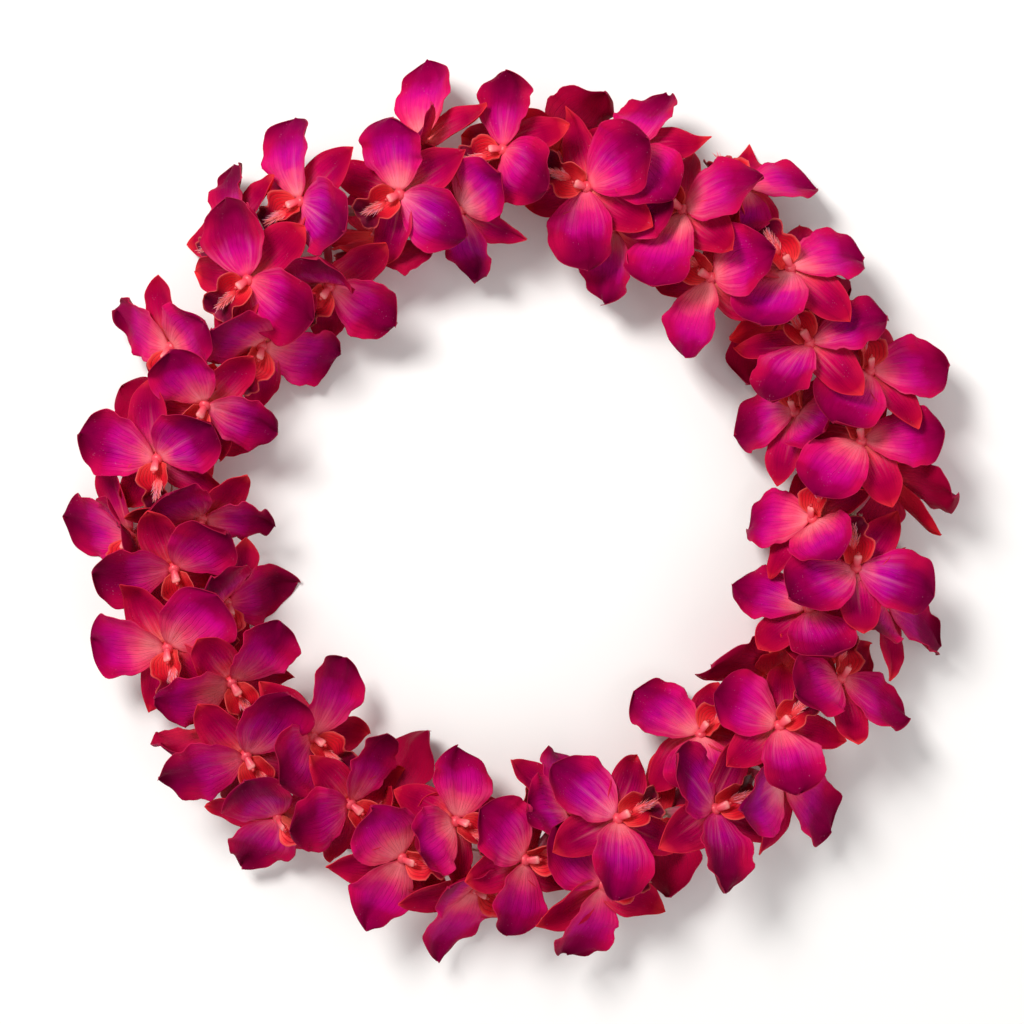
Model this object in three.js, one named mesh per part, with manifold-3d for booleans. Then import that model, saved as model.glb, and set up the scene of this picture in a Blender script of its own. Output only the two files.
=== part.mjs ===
// A fresh orchid lei: dendrobium blooms threaded by needle on one string, which is tied into a ring.
// It lies on a flat surface. Units are millimetres, +Z is up, and the origin is the ring's centre, on
// the surface. Each bloom is one solid: three sepals behind, two broad petals and a lip in front, the
// column, and the stalk that the string runs through. Every tepal starts in its natural place and is
// bent, only as far as it has to be, until it lies clear of its neighbours.
import * as THREE from "three";
import { mergeVertices } from "three/addons/utils/BufferGeometryUtils.js";
import Module from "manifold-3d";

const wasm = await Module();
wasm.setup();

// ---- The lei ----
const LEI_LENGTH = 915; // the string's way round, 36 inches
const RING_RADIUS = LEI_LENGTH / (2 * Math.PI);
const RING_CENTRE = new THREE.Vector3(3.7, -0.3, 0); // puts the middle of the whole over the origin
const STRING_RADIUS = 0.6;
const STRING_HEIGHT = 25; // of the string's middle, above the surface
const STRING_SIDES = 5;
const STRING_STEPS = 72;
const KNOT_RADIUS = 1.9; // where the string's ends are tied, halfway between two blooms
const TAIL = { length: 8, splay: 35 }; // the two cut ends, at an angle to the string in degrees

const BLOOMS = 58;
const GOLDEN = 0.618034; // of a turn from each bloom to the next
const DOWN_SHARE = 0.14; // the share of the blooms that lie face down, under the others
const DOWN_SPREAD = 120; // degrees about the string that those face across
const UP_SPREAD = 210; // and the others
const UPTURN = 0.55; // the share by which a bloom at the side turns its face upwards
const LEAN = 38; // degrees that a face leans along the string, with its lip ahead
const STALK = 16; // from the string to where the tepals join
const SIDE_STALK = 5; // added to the stalk of a bloom out at the side
const BLADE = 0.8; // thickness of every tepal
const GAP = 0.4; // kept between one bloom and the next
const PRESSED = 4; // the furthest that the surface can push part of a tepal up
const STEEPEST = 0.35; // the least upward part of a tepal's normal where it is pressed: it doesn't fold

// ---- How much one bloom differs from the next: the most, either way ----
const VARY = { along: 2.5, face: 10, lean: 11, spin: 24, stalk: 3, size: 0.07 };
const VARY_TEPAL = { azimuth: 5, pitch: 8, bend: 16, length: 0.06, twist: 14 };
const SEED = 3;

// ---- One bloom: azimuths are about its face, 90 is towards the dorsal sepal ----
const HUB_RADIUS = 2.2;
const HUB_LAYER = 1.5; // depth of each of the hub's two layers
const [REAR, FRONT] = [0, 1];
const PETAL = { layer: FRONT, length: 32.5, halfWidth: 15, rise: 0.85, fall: 0.42, root: 2, tip: 2.4,
  pitch: 12, bend: -24, cup: 0.16, wave: 1.1, across: 2, steps: [0.38, 0.74, 1] };
const SEPAL = { layer: REAR, length: 31, halfWidth: 8.4, rise: 0.6, fall: 0.62, root: 2, tip: 0.8,
  pitch: 4, bend: -26, cup: 0.2, wave: 0.4, across: 1, steps: [0.36, 0.74, 1] };
const LIP = { layer: FRONT, length: 21, halfWidth: 7.4, rise: 0.5, fall: 0.4, root: 2, tip: 2,
  pitch: 52, bend: -74, cup: 0.75, wave: 0.5, across: 2, steps: [0.36, 0.72, 1] };
const TEPALS = [
  { ...PETAL, face: 30, azimuth: 27 },
  { ...PETAL, face: 150, azimuth: 153 },
  { ...SEPAL, face: 90, azimuth: 90 },
  { ...SEPAL, face: 330, azimuth: -47, halfWidth: 7.4, pitch: 10 },
  { ...SEPAL, face: 210, azimuth: 227, halfWidth: 7.4, pitch: 10 },
  { ...LIP, face: 270, azimuth: -90 },
];
const COLUMN = { length: 6.5, tipRadius: 1.2, lean: 1.6 };
const SWELL = { radius: 2.5, beyond: 3.4 }; // the stalk is thickest on the bloom's side of the string
const STALK_END = { radius: 2, beyond: -3 }; // and ends on the other side of it
const HOLE = { radius: 1.2, length: 14, sides: 4 }; // left by the needle
// Radius and height of the room kept round the hub of a bloom whose tepals are still to be settled.
const ROOM = [[2.4, -3], [7, -1], [7, 4], [2, 9]];

// ---- Ways to turn a bloom aside, the mildest first: degrees about the string, lean, longer stalk ----
const TURNINGS = [
  { roll: 0, lean: 0, stalk: 0 },
  { roll: 0, lean: 0, stalk: 4 },
  { roll: 12, lean: 0, stalk: 0 },
  { roll: -12, lean: 0, stalk: 0 },
  { roll: 0, lean: 12, stalk: 0 },
  { roll: 0, lean: -12, stalk: 0 },
  { roll: 12, lean: 0, stalk: 5 },
  { roll: -12, lean: 0, stalk: 5 },
  { roll: 0, lean: 14, stalk: 6 },
  { roll: 24, lean: 0, stalk: 3 },
  { roll: -24, lean: 0, stalk: 3 },
  { roll: 0, lean: 0, stalk: 9 },
  { roll: 24, lean: 12, stalk: 8 },
  { roll: -24, lean: 12, stalk: 8 },
  { roll: 36, lean: -12, stalk: 6 },
  { roll: -36, lean: -12, stalk: 6 },
];

// ---- Ways to bend a tepal clear, the mildest first: lift and sweep in degrees, reach as a share ----
const LIFTS = [0, 9, -9, 18, -18, 30, -30, 44, -44, 60];
const SWEEPS = [0, 10, -10, 22, -22];
const REACHES = [1, 0.75];
const STEEPEST_ROOT = 70; // degrees from the hub's plane
const BENDINGS = REACHES.flatMap((reach) =>
  SWEEPS.flatMap((sweep) => LIFTS.map((lift) => ({ lift, sweep, reach }))),
).sort((a, b) => strain(a) - strain(b));

function strain({ lift, sweep, reach }) {
  return Math.abs(lift) + 2 * Math.abs(sweep) + 200 * (1 - reach);
}

const rad = THREE.MathUtils.degToRad;

// A stream of draws from -1 to 1, always the same for one seed.
function stream(seed) {
  let state = (seed * 2654435761) >>> 0;
  const draw = () => {
    state = (Math.imul(state, 1664525) + 1013904223) >>> 0;
    return state / 2147483648 - 1;
  };
  for (let k = 0; k < 4; k++) draw();
  return draw;
}

// Where round the string bloom i is, in degrees: 0 is above it and 90 is away from the ring's centre.
function place(i) {
  const turn = (i * GOLDEN) % 1;
  if (turn < DOWN_SHARE) return 180 + DOWN_SPREAD * (turn / DOWN_SHARE - 0.5);
  return UP_SPREAD * ((turn - DOWN_SHARE) / (1 - DOWN_SHARE) - 0.5);
}

function makeBloom(i, turning) {
  const draw = stream(SEED + i);
  const angle = ((i * LEI_LENGTH) / BLOOMS + VARY.along * draw()) / RING_RADIUS;
  const faceUp = Math.abs(place(i)) <= UP_SPREAD / 2;
  const roll = place(i) + VARY.face * draw() + turning.roll;
  const faceRoll = faceUp ? roll * (1 - UPTURN) : roll;
  const lean = rad(LEAN + VARY.lean * draw() + turning.lean);
  const spin = rad(VARY.spin * draw());
  const stalk = STALK + VARY.stalk * draw() + SIDE_STALK * Math.sin(rad(roll)) ** 2 + turning.stalk;
  const size = 1 + VARY.size * draw();

  const out = new THREE.Vector3(Math.cos(angle), Math.sin(angle), 0);
  const along = new THREE.Vector3(-Math.sin(angle), Math.cos(angle), 0);
  const round = (degrees) =>
    out.clone().multiplyScalar(Math.sin(rad(degrees))).setZ(Math.cos(rad(degrees)));
  const off = round(faceRoll);
  const front = off.clone().multiplyScalar(Math.cos(lean)).addScaledVector(along, Math.sin(lean));
  const dorsal = off.clone().multiplyScalar(Math.sin(lean)).addScaledVector(along, -Math.cos(lean));
  dorsal.applyAxisAngle(front, spin);
  const right = new THREE.Vector3().crossVectors(dorsal, front);
  const rise = round(roll).multiplyScalar(Math.cos(lean)).addScaledVector(along, Math.sin(lean));
  const thread = out.clone().multiplyScalar(RING_RADIUS).setZ(STRING_HEIGHT);
  const frame = new THREE.Matrix4()
    .makeBasis(right, dorsal, front)
    .setPosition(thread.clone().addScaledVector(rise, stalk));
  const back = along.clone().projectOnPlane(rise).normalize().negate();
  const stem = new THREE.Matrix4()
    .makeBasis(new THREE.Vector3().crossVectors(back, rise), back, rise)
    .setPosition(thread);

  const tepals = TEPALS.map((kind) => ({
    ...kind,
    azimuth: kind.azimuth + VARY_TEPAL.azimuth * draw(),
    pitch: kind.pitch + VARY_TEPAL.pitch * draw(),
    bend: kind.bend + VARY_TEPAL.bend * draw(),
    length: kind.length * size * (1 + VARY_TEPAL.length * draw()),
    halfWidth: kind.halfWidth * size,
    twist: VARY_TEPAL.twist * draw(),
    phase: Math.PI * draw(),
  }));
  return { i, frame, stem, along, thread, tepals };
}

// ---- Meshes, put together point by point ----
class Skin {
  points = [];
  triangles = [];
  point(p) {
    const known = this.points.findIndex((q) => q.distanceToSquared(p) < 1e-10);
    return known < 0 ? this.points.push(p) - 1 : known;
  }
  rows(rows) {
    return rows.map(({ front, rear }) => ({
      front: front.map((p) => this.point(p)),
      rear: rear.map((p) => this.point(p)),
    }));
  }
  triangle(a, b, c) {
    if (a !== b && b !== c && c !== a) this.triangles.push(a, b, c);
  }
  quad(a, b, c, d) {
    this.triangle(a, b, c);
    this.triangle(a, c, d);
  }
  // A band of quads from one ring of points to the next.
  band(ring, next) {
    ring.forEach((a, k) => {
      const after = (k + 1) % ring.length;
      this.quad(a, ring[after], next[after], next[k]);
    });
  }
  fan(ring) {
    for (let k = 1; k + 1 < ring.length; k++) this.triangle(ring[0], ring[k], ring[k + 1]);
  }
  geometry() {
    return new THREE.BufferGeometry().setFromPoints(this.points).setIndex(this.triangles);
  }
  solid() {
    return solidOf(this.geometry());
  }
}

function solidOf(geometry) {
  geometry.deleteAttribute("normal");
  geometry.deleteAttribute("uv");
  const merged = mergeVertices(geometry, 1e-5);
  const vertProperties = merged.attributes.position.array;
  const triVerts = new Uint32Array(merged.index.array);
  return new wasm.Manifold(new wasm.Mesh({ numProp: 3, vertProperties, triVerts }));
}

// ---- Tepals ----

// Half the tepal's width at a share u of its length.
function halfWidth(t, u) {
  const peak = t.rise / (t.rise + t.fall);
  const bell = (x) => x ** t.rise * (1 - x) ** t.fall;
  return t.root * (1 - u) + t.tip * u + ((t.halfWidth - t.tip) * bell(u)) / bell(peak);
}

// The middle of the blade and its normal, at u along it and v across it from -1 to 1, in the bloom's frame.
function bladeAt(t, bending, u, v) {
  const azimuth = rad(t.azimuth + bending.sweep);
  const bend = rad(t.bend);
  const length = t.length * bending.reach;
  const pitch = rad(t.pitch + bending.lift);
  const outward = new THREE.Vector3(Math.cos(azimuth), Math.sin(azimuth), 0);
  const forward = new THREE.Vector3(0, 0, 1);
  const turned = (bend * u) / 2;
  const chord = length * u * (Math.abs(turned) < 1e-6 ? 1 : Math.sin(turned) / turned);
  const middle = new THREE.Vector3(Math.cos(rad(t.face)), Math.sin(rad(t.face)), 0)
    .multiplyScalar(HUB_RADIUS * Math.cos(Math.PI / 6))
    .setZ((t.layer - 0.5) * HUB_LAYER)
    .addScaledVector(outward, chord * Math.cos(pitch + turned))
    .addScaledVector(forward, chord * Math.sin(pitch + turned));
  const slope = pitch + bend * u;
  const normal = forward.clone().multiplyScalar(Math.cos(slope)).addScaledVector(outward, -Math.sin(slope));
  const tangent = new THREE.Vector3().crossVectors(normal, outward.clone().cross(forward)).normalize();
  const across = new THREE.Vector3().crossVectors(forward, outward);
  const twist = rad(t.twist * u);
  across.applyAxisAngle(tangent, twist);
  normal.applyAxisAngle(tangent, twist);
  const w = halfWidth(t, u);
  const ripple = t.wave * Math.sin(7 * u + 1.3 * v + t.phase) * v * v * u;
  middle.addScaledVector(across, v * w).addScaledVector(normal, t.cup * w * (v * v - 0.4) + ripple);
  return { middle, normal };
}

// Points across the middle of the blade at each step along it. Those below the surface are pressed flat
// against it, all with the same face down, and `depth` is how far, with a fold counted as too far.
function bladeMiddle(bloom, t, bending) {
  const rows = t.steps.map((u) =>
    Array.from({ length: t.across + 1 }, (_, k) => {
      const { middle, normal } = bladeAt(t, bending, u, (2 * k) / t.across - 1);
      return { middle: middle.applyMatrix4(bloom.frame), normal: normal.transformDirection(bloom.frame) };
    }),
  );
  const low = rows.flat().filter(({ middle }) => middle.z < BLADE / 2);
  const side = Math.sign(low.reduce((sum, { normal }) => sum + normal.z, 0)) || 1;
  const folds = low.length > 0 && rows.flat().some(({ normal }) => normal.z * side < 0);
  let depth = folds ? 2 * PRESSED : 0;
  for (const { middle, normal } of low) {
    const steep = normal.z * side < STEEPEST ? PRESSED : 0;
    depth = Math.max(depth, BLADE / 2 - middle.z + steep);
    middle.setZ(BLADE / 2);
    normal.set(0, 0, side);
  }
  return { rows, depth };
}

// Rows of points across the blade, front face and back, from the side of the hub that it grows from.
function bladeRows(bloom, t, { rows }, thickness) {
  const back = bloom.frame.clone().invert();
  const faced = rows.map((row) => {
    const [front, rear] = [thickness / 2, -thickness / 2].map((reach) =>
      row.map(({ middle, normal }) => middle.clone().addScaledVector(normal, reach).applyMatrix4(back)),
    );
    return { front, rear };
  });
  return [hubSide(t), ...faced];
}

// A row has as many points as the blade has across it, so on the hub the middle ones meet at a corner.
function hubSide(t) {
  const row = { front: [], rear: [] };
  for (let k = 0; k <= t.across; k++) {
    const corner = t.face + (k === 0 ? -30 : 30);
    row.rear.push(hubPoint(corner, HUB_RADIUS, (t.layer - 1) * HUB_LAYER));
    row.front.push(hubPoint(corner, HUB_RADIUS, t.layer * HUB_LAYER));
  }
  return row;
}

function hubPoint(azimuth, radius, z, shift = 0) {
  const angle = rad(azimuth);
  return new THREE.Vector3(radius * Math.cos(angle), radius * Math.sin(angle) - shift, z);
}

function coverBlade(skin, rows) {
  rows.slice(1).forEach((next, n) => {
    const row = rows[n];
    const last = row.front.length - 1;
    for (let k = 0; k < last; k++) {
      skin.quad(row.front[k], next.front[k], next.front[k + 1], row.front[k + 1]);
      skin.triangle(row.rear[k], next.rear[k + 1], next.rear[k]);
      skin.triangle(row.rear[k], row.rear[k + 1], next.rear[k + 1]);
    }
    skin.quad(row.front[0], row.rear[0], next.rear[0], next.front[0]);
    skin.quad(row.front[last], next.front[last], next.rear[last], row.rear[last]);
  });
  const { front, rear } = rows.at(-1);
  for (let k = 0; k + 1 < front.length; k++) skin.quad(front[k], rear[k], rear[k + 1], front[k + 1]);
}

// A tepal by itself, in the lei's frame, for finding out what it would cross.
function looseBlade(bloom, t, middle, thickness) {
  const skin = new Skin();
  const rows = skin.rows(bladeRows(bloom, t, middle, thickness));
  coverBlade(skin, rows);
  skin.quad(rows[0].front[0], rows[0].front.at(-1), rows[0].rear.at(-1), rows[0].rear[0]);
  return placed(bloom, skin);
}

// ---- The rest of the bloom ----
const HUB_SIDES = 6;

function ring(skin, radius, z, shift = 0) {
  return Array.from({ length: HUB_SIDES }, (_, k) => skin.point(hubPoint(60 * k, radius, z, shift)));
}

// The hub, stalk and column; each tepal grows from one side of the hub's front or rear layer.
function bloomSkin(bloom, bendings) {
  const skin = new Skin();
  const levels = [-HUB_LAYER, 0, HUB_LAYER].map((z) => ring(skin, HUB_RADIUS, z));
  for (const layer of [REAR, FRONT]) {
    const [low, high] = [levels[layer], levels[layer + 1]];
    for (let k = 0; k < HUB_SIDES; k++) {
      const after = (k + 1) % HUB_SIDES;
      const n = TEPALS.findIndex((t) => t.layer === layer && t.face === 60 * k + 30);
      if (!bendings || n < 0) {
        skin.quad(low[k], low[after], high[after], high[k]);
        continue;
      }
      const middle = bladeMiddle(bloom, bloom.tepals[n], bendings[n]);
      coverBlade(skin, skin.rows(bladeRows(bloom, bloom.tepals[n], middle, BLADE)));
    }
  }
  const columnTip = ring(skin, COLUMN.tipRadius, HUB_LAYER + COLUMN.length, COLUMN.lean);
  skin.band(levels[2], columnTip);
  skin.fan(columnTip);
  const swell = stalkRing(bloom, skin, SWELL);
  const end = stalkRing(bloom, skin, STALK_END);
  skin.band(swell, levels[0]);
  skin.band(end, swell);
  skin.fan([...end].reverse());
  return skin;
}

// A ring square to the stalk, past the string by `beyond`, with two of its sides facing along the string.
function stalkRing(bloom, skin, { radius, beyond }) {
  const back = bloom.frame.clone().invert();
  return Array.from({ length: HUB_SIDES }, (_, k) => {
    const p = hubPoint(60 * k, radius, beyond).applyMatrix4(bloom.stem);
    return skin.point(p.applyMatrix4(back));
  });
}

// The room round a hub that tepals of its own will need.
function room(bloom) {
  const skin = new Skin();
  const rings = ROOM.map(([radius, z]) => ring(skin, radius, z));
  rings.slice(1).forEach((next, k) => skin.band(rings[k], next));
  skin.fan(rings.at(-1));
  skin.fan([...rings[0]].reverse());
  return placed(bloom, skin);
}

function placed(bloom, skin) {
  skin.points.forEach((p) => p.applyMatrix4(bloom.frame));
  return skin.solid();
}

function threadHole(bloom) {
  const { radius, length, sides } = HOLE;
  const hole = new THREE.CylinderGeometry(radius, radius, length, sides, 1, false, Math.PI / sides);
  const across = new THREE.Vector3().setFromMatrixColumn(bloom.stem, 0);
  const third = new THREE.Vector3().crossVectors(across, bloom.along);
  hole.applyMatrix4(new THREE.Matrix4().makeBasis(across, bloom.along, third));
  hole.translate(...bloom.thread).applyMatrix4(bloom.frame.clone().invert());
  return solidOf(hole);
}

function geometryOf(solid) {
  const { vertProperties, triVerts } = solid.getMesh();
  return new THREE.BufferGeometry()
    .setAttribute("position", new THREE.BufferAttribute(vertProperties, 3))
    .setIndex(new THREE.BufferAttribute(triVerts, 1));
}

// ---- Bending the tepals clear ----
const CLEAR = 0.01; // mm3 that a tepal may share with its neighbours' margins, or a whole bloom 5 times that
const REAL_WEIGHT = 1000; // a real crossing counts this many times as much as one of the margins
const OWN_WEIGHT = 1e5; // one tepal touching another of the same bloom counts even more
const SUNK_WEIGHT = 20; // and so does each millimetre that a tepal would be pressed too far

const obstacle = (solid) => ({ solid, box: solid.boundingBox() });

function apart(a, b) {
  return [0, 1, 2].some((k) => a.min[k] > b.max[k] || b.min[k] > a.max[k]);
}

// How much of a solid is inside the obstacles, counted no further than the limit.
function crossing(solid, obstacles, limit) {
  const box = solid.boundingBox();
  let shared = 0;
  for (const other of obstacles) {
    if (apart(box, other.box)) continue;
    const common = solid.intersect(other.solid);
    shared += Math.abs(common.volume());
    common.delete();
    if (shared > limit) break;
  }
  return shared;
}

// A bloom without its tepals.
const core = (bloom) => obstacle(placed(bloom, bloomSkin(bloom, null)));

// The mildest bending that keeps each tepal of a bloom clear, as far as the total stays below a limit.
function bent(bloom, middle, others, rooms, limit) {
  const own = [];
  const bendings = [];
  let total = 0;
  for (const t of bloom.tepals) {
    let best = { shared: Infinity };
    for (const bending of BENDINGS) {
      if (Math.abs(t.pitch + bending.lift) > STEEPEST_ROOT) continue;
      const rows = bladeMiddle(bloom, t, bending);
      const sunk = SUNK_WEIGHT * Math.max(0, rows.depth - PRESSED);
      if (sunk > best.shared) continue;
      const blade = looseBlade(bloom, t, rows, BLADE);
      const roomy = looseBlade(bloom, t, rows, BLADE + 2 * GAP);
      const shared = sunk + OWN_WEIGHT * crossing(blade, own, best.shared / OWN_WEIGHT) +
        REAL_WEIGHT * crossing(blade, [middle, ...others], best.shared / REAL_WEIGHT) +
        crossing(roomy, [...others, ...rooms], best.shared);
      roomy.delete();
      if (shared < best.shared) best = { shared, bending, blade };
      if (shared < CLEAR) break;
    }
    own.push(obstacle(best.blade));
    bendings.push(best.bending);
    total += best.shared;
    if (total > limit) break;
  }
  return { bloom, middle, own, bendings, total };
}

// The blooms that face up are settled first, and each of the rest is turned aside only if it must be.
function settle(string) {
  const natural = Array.from({ length: BLOOMS }, (_, i) => makeBloom(i, TURNINGS[0]));
  const order = natural.map(({ i }) => i).sort((a, b) => Math.abs(place(a)) - Math.abs(place(b)));
  const cores = natural.map(core);
  const rooms = new Map(natural.map((bloom) => [bloom.i, obstacle(room(bloom))]));
  const settled = [];
  const blooms = [];
  for (const i of order) {
    rooms.delete(i);
    const blooming = [...settled, ...cores.filter((_, k) => k !== i)];
    const others = [obstacle(string), ...blooming];
    let best = { total: Infinity };
    for (const turning of TURNINGS) {
      const bloom = makeBloom(i, turning);
      const middle = core(bloom);
      const blocked = REAL_WEIGHT * crossing(middle.solid, blooming, 1);
      if (blocked > best.total) continue;
      const attempt = bent(bloom, middle, others, [...rooms.values()], best.total - blocked);
      attempt.total += blocked;
      if (attempt.total < best.total) best = attempt;
      if (best.total < 5 * CLEAR) break;
    }
    cores[i] = best.middle;
    settled.push(...best.own);
    blooms[i] = best;
  }
  return blooms;
}

// ---- The whole lei ----
const lei = new THREE.Group();
const MAGENTA = { color: 0xa8065e, roughness: 0.55, metalness: 0 };
const COTTON = { color: 0xe9e2d2, roughness: 0.9, metalness: 0 };

// The string, with its ends tied in a knot and cut short.
function makeString() {
  const loop = new THREE.TorusGeometry(RING_RADIUS, STRING_RADIUS, STRING_SIDES, STRING_STEPS);
  let string = solidOf(loop);
  const seam = -Math.PI / BLOOMS;
  const atSeam = (geometry) => geometry.translate(RING_RADIUS, 0, 0).rotateZ(seam);
  string = string.add(solidOf(atSeam(new THREE.OctahedronGeometry(KNOT_RADIUS, 1))));
  for (const side of [-1, 1]) {
    const tail = new THREE.CylinderGeometry(STRING_RADIUS, STRING_RADIUS, TAIL.length, 4);
    tail.translate(0, TAIL.length / 2, 0).rotateX(rad(TAIL.splay)).rotateZ(side * rad(TAIL.splay / 2));
    string = string.add(solidOf(atSeam(tail)));
  }
  return string.translate([0, 0, STRING_HEIGHT]);
}

const stringSolid = makeString();
const string = new THREE.Mesh(geometryOf(stringSolid), new THREE.MeshStandardMaterial(COTTON));
string.name = "string";
lei.add(string);

for (const { bloom, bendings } of settle(stringSolid)) {
  const whole = bloomSkin(bloom, bendings).solid().subtract(threadHole(bloom));
  const mesh = new THREE.Mesh(geometryOf(whole), new THREE.MeshStandardMaterial(MAGENTA));
  mesh.name = `bloom_${String(bloom.i + 1).padStart(2, "0")}`;
  mesh.applyMatrix4(bloom.frame);
  lei.add(mesh);
}
for (const mesh of lei.children) mesh.position.add(RING_CENTRE);

export default lei;
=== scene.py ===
"""The looks of a fresh orchid lei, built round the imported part.

The part says where each bloom sits and how each of its tepals is bent clear of the others. This script
draws the same blooms again, reads off each node how that bloom was turned and its tepals bent, and puts a
finer bloom there: curved blades with thin edges, a three-lobed lip with its plume, a hooded column and a
round stalk. Lengths are in millimetres up to the point where a mesh is made, which is in metres.
"""

import math

import bpy
import numpy as np
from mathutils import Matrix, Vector


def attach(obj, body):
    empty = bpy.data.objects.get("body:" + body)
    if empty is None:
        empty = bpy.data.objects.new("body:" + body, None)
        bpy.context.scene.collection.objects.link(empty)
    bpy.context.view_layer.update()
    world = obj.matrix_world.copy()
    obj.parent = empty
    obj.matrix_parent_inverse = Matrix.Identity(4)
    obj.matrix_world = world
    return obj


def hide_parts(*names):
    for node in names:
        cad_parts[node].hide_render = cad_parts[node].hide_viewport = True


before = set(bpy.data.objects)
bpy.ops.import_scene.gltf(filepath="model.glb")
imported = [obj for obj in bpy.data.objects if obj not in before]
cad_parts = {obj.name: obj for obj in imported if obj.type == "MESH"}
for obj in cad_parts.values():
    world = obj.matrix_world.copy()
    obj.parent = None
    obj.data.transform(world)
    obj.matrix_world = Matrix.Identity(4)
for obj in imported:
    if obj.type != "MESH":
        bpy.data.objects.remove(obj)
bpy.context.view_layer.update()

MM = 0.001

# ---- The lei, as the part has it ----
LEI_LENGTH = 915
RING_RADIUS = LEI_LENGTH / (2 * math.pi)
RING_CENTRE = np.array([3.7, -0.3, 0.0])  # from the origin, which is under the middle of the whole
STRING_RADIUS = 0.6
STRING_HEIGHT = 25
KNOT_RADIUS = 1.9
TAIL = {"length": 8, "splay": 35}

BLOOMS = 58
GOLDEN = 0.618034
DOWN_SHARE = 0.14
DOWN_SPREAD = 120
UP_SPREAD = 210
UPTURN = 0.55
LEAN = 38
STALK = 16
SIDE_STALK = 5
BLADE = 0.8

VARY = {"along": 2.5, "face": 10, "lean": 11, "spin": 24, "stalk": 3, "size": 0.07}
VARY_TEPAL = {"azimuth": 5, "pitch": 8, "bend": 16, "length": 0.06, "twist": 14}
SEED = 3

HUB_RADIUS = 2.2
HUB_LAYER = 1.5
REAR, FRONT = 0, 1
PETAL = {
    "kind": "petal", "layer": FRONT, "length": 32.5, "half_width": 15, "rise": 0.85, "fall": 0.42,
    "root": 2, "tip": 2.4, "pitch": 12, "bend": -24, "cup": 0.16, "wave": 1.1, "across": 2,
    "steps": (0.38, 0.74, 1),
}
SEPAL = {
    "kind": "sepal", "layer": REAR, "length": 31, "half_width": 8.4, "rise": 0.6, "fall": 0.62,
    "root": 2, "tip": 0.8, "pitch": 4, "bend": -26, "cup": 0.2, "wave": 0.4, "across": 1,
    "steps": (0.36, 0.74, 1),
}
LIP = {
    "kind": "lip", "layer": FRONT, "length": 21, "half_width": 7.4, "rise": 0.5, "fall": 0.4,
    "root": 2, "tip": 2, "pitch": 52, "bend": -74, "cup": 0.75, "wave": 0.5, "across": 2,
    "steps": (0.36, 0.72, 1),
}
SIDE_SEPAL = {**SEPAL, "half_width": 7.4, "pitch": 10}
TEPALS = [
    {**PETAL, "face": 30, "azimuth": 27},
    {**PETAL, "face": 150, "azimuth": 153},
    {**SEPAL, "face": 90, "azimuth": 90},
    {**SIDE_SEPAL, "face": 330, "azimuth": -47},
    {**SIDE_SEPAL, "face": 210, "azimuth": 227},
    {**LIP, "face": 270, "azimuth": -90},
]
SWELL = {"radius": 2.5, "beyond": 3.4}
STALK_END = {"radius": 2, "beyond": -3}

# Degrees about the string, lean, longer stalk.
TURNINGS = [
    (0, 0, 0), (0, 0, 4), (12, 0, 0), (-12, 0, 0), (0, 12, 0), (0, -12, 0), (12, 0, 5), (-12, 0, 5),
    (0, 14, 6), (24, 0, 3), (-24, 0, 3), (0, 0, 9), (24, 12, 8), (-24, 12, 8), (36, -12, 6), (-36, -12, 6),
]
LIFTS = (0, 9, -9, 18, -18, 30, -30, 44, -44, 60)
SWEEPS = (0, 10, -10, 22, -22)
REACHES = (1, 0.75)
BENDINGS = sorted(
    ((lift, sweep, reach) for reach in REACHES for sweep in SWEEPS for lift in LIFTS),
    key=lambda b: abs(b[0]) + 2 * abs(b[1]) + 200 * (1 - b[2]),
)
MATCH = 0.05  # mm between a node's points and where this script puts them

# ---- The finer blades ----
GRID = {"petal": (26, 18), "sepal": (24, 12), "lip": (30, 18)}  # cells along and across
TIPWARD = 1.8  # how much closer the rows are towards the tip
THIN = 0.26  # at the edges
THICK = {"petal": 0.62, "sepal": 0.62, "lip": 0.7}  # along the middle, near the root
NARROWEST = 0.12  # half the width of the last row
FRILL = {"petal": 1.05, "sepal": 0.35, "lip": 0.6}  # height of the ripples along the edge
FRILLS = {"petal": (2.0, 3.4), "sepal": (1.5, 2.5), "lip": (3.5, 5.0)}  # and how many there are
EDGE_ROLL = {"petal": 0.08, "sepal": 0.12, "lip": 0.1}  # share of the half width, either way
MIDRIB = {"petal": 0.5, "sepal": 0.6, "lip": 0.3}  # depth of the groove down the middle
MIDRIB_WIDTH = 0.09  # as a share of the half width
POINTED = {"petal": (0.0, 0.42), "sepal": (-0.05, 0.25), "lip": (0.0, 0.1)}  # added to `fall`
ROUNDED = 15  # the power by which a tip closes
FULLER = 1.05  # by which the fine blades are wider, to make up for their drawn-in tips
# How steeply each half slopes from the midrib, and where across the blade that leaves it as it was.
CREASE = {"petal": (-0.05, 0.18), "sepal": (0.0, 0.3), "lip": (0.0, 0.0)}
STEADY = {"petal": 0.3, "sepal": 0.8, "lip": 0.5}
SKEW = {"petal": 0.1, "sepal": 0.08, "lip": 0.04}  # by which one side is wider than the other
UNEVEN = {"petal": 0.028, "sepal": 0.032, "lip": 0.03}  # share by which the outline wanders
FOLDS = {"petal": 0.85, "sepal": 0.4, "lip": 0.15}  # height of the soft folds along the blade
HOOK = {"petal": (-2.4, 3.2), "sepal": (-1.4, 4.0), "lip": (-0.6, 0.6)}  # how far a tip curls forward
CURLED = {"from": (0.74, 0.88), "by": 1.7, "pointed": 0.14}  # a fifth of the tips, which curl further
SOFT = 0.8  # how gently a pressed blade meets the surface
LOWEST = {"blade": 0.02, "plume": 0.05}  # over the surface
WAIST = {"at": 0.52, "length": 0.1, "depth": 0.4}  # of the lip, behind its middle lobe
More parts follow.
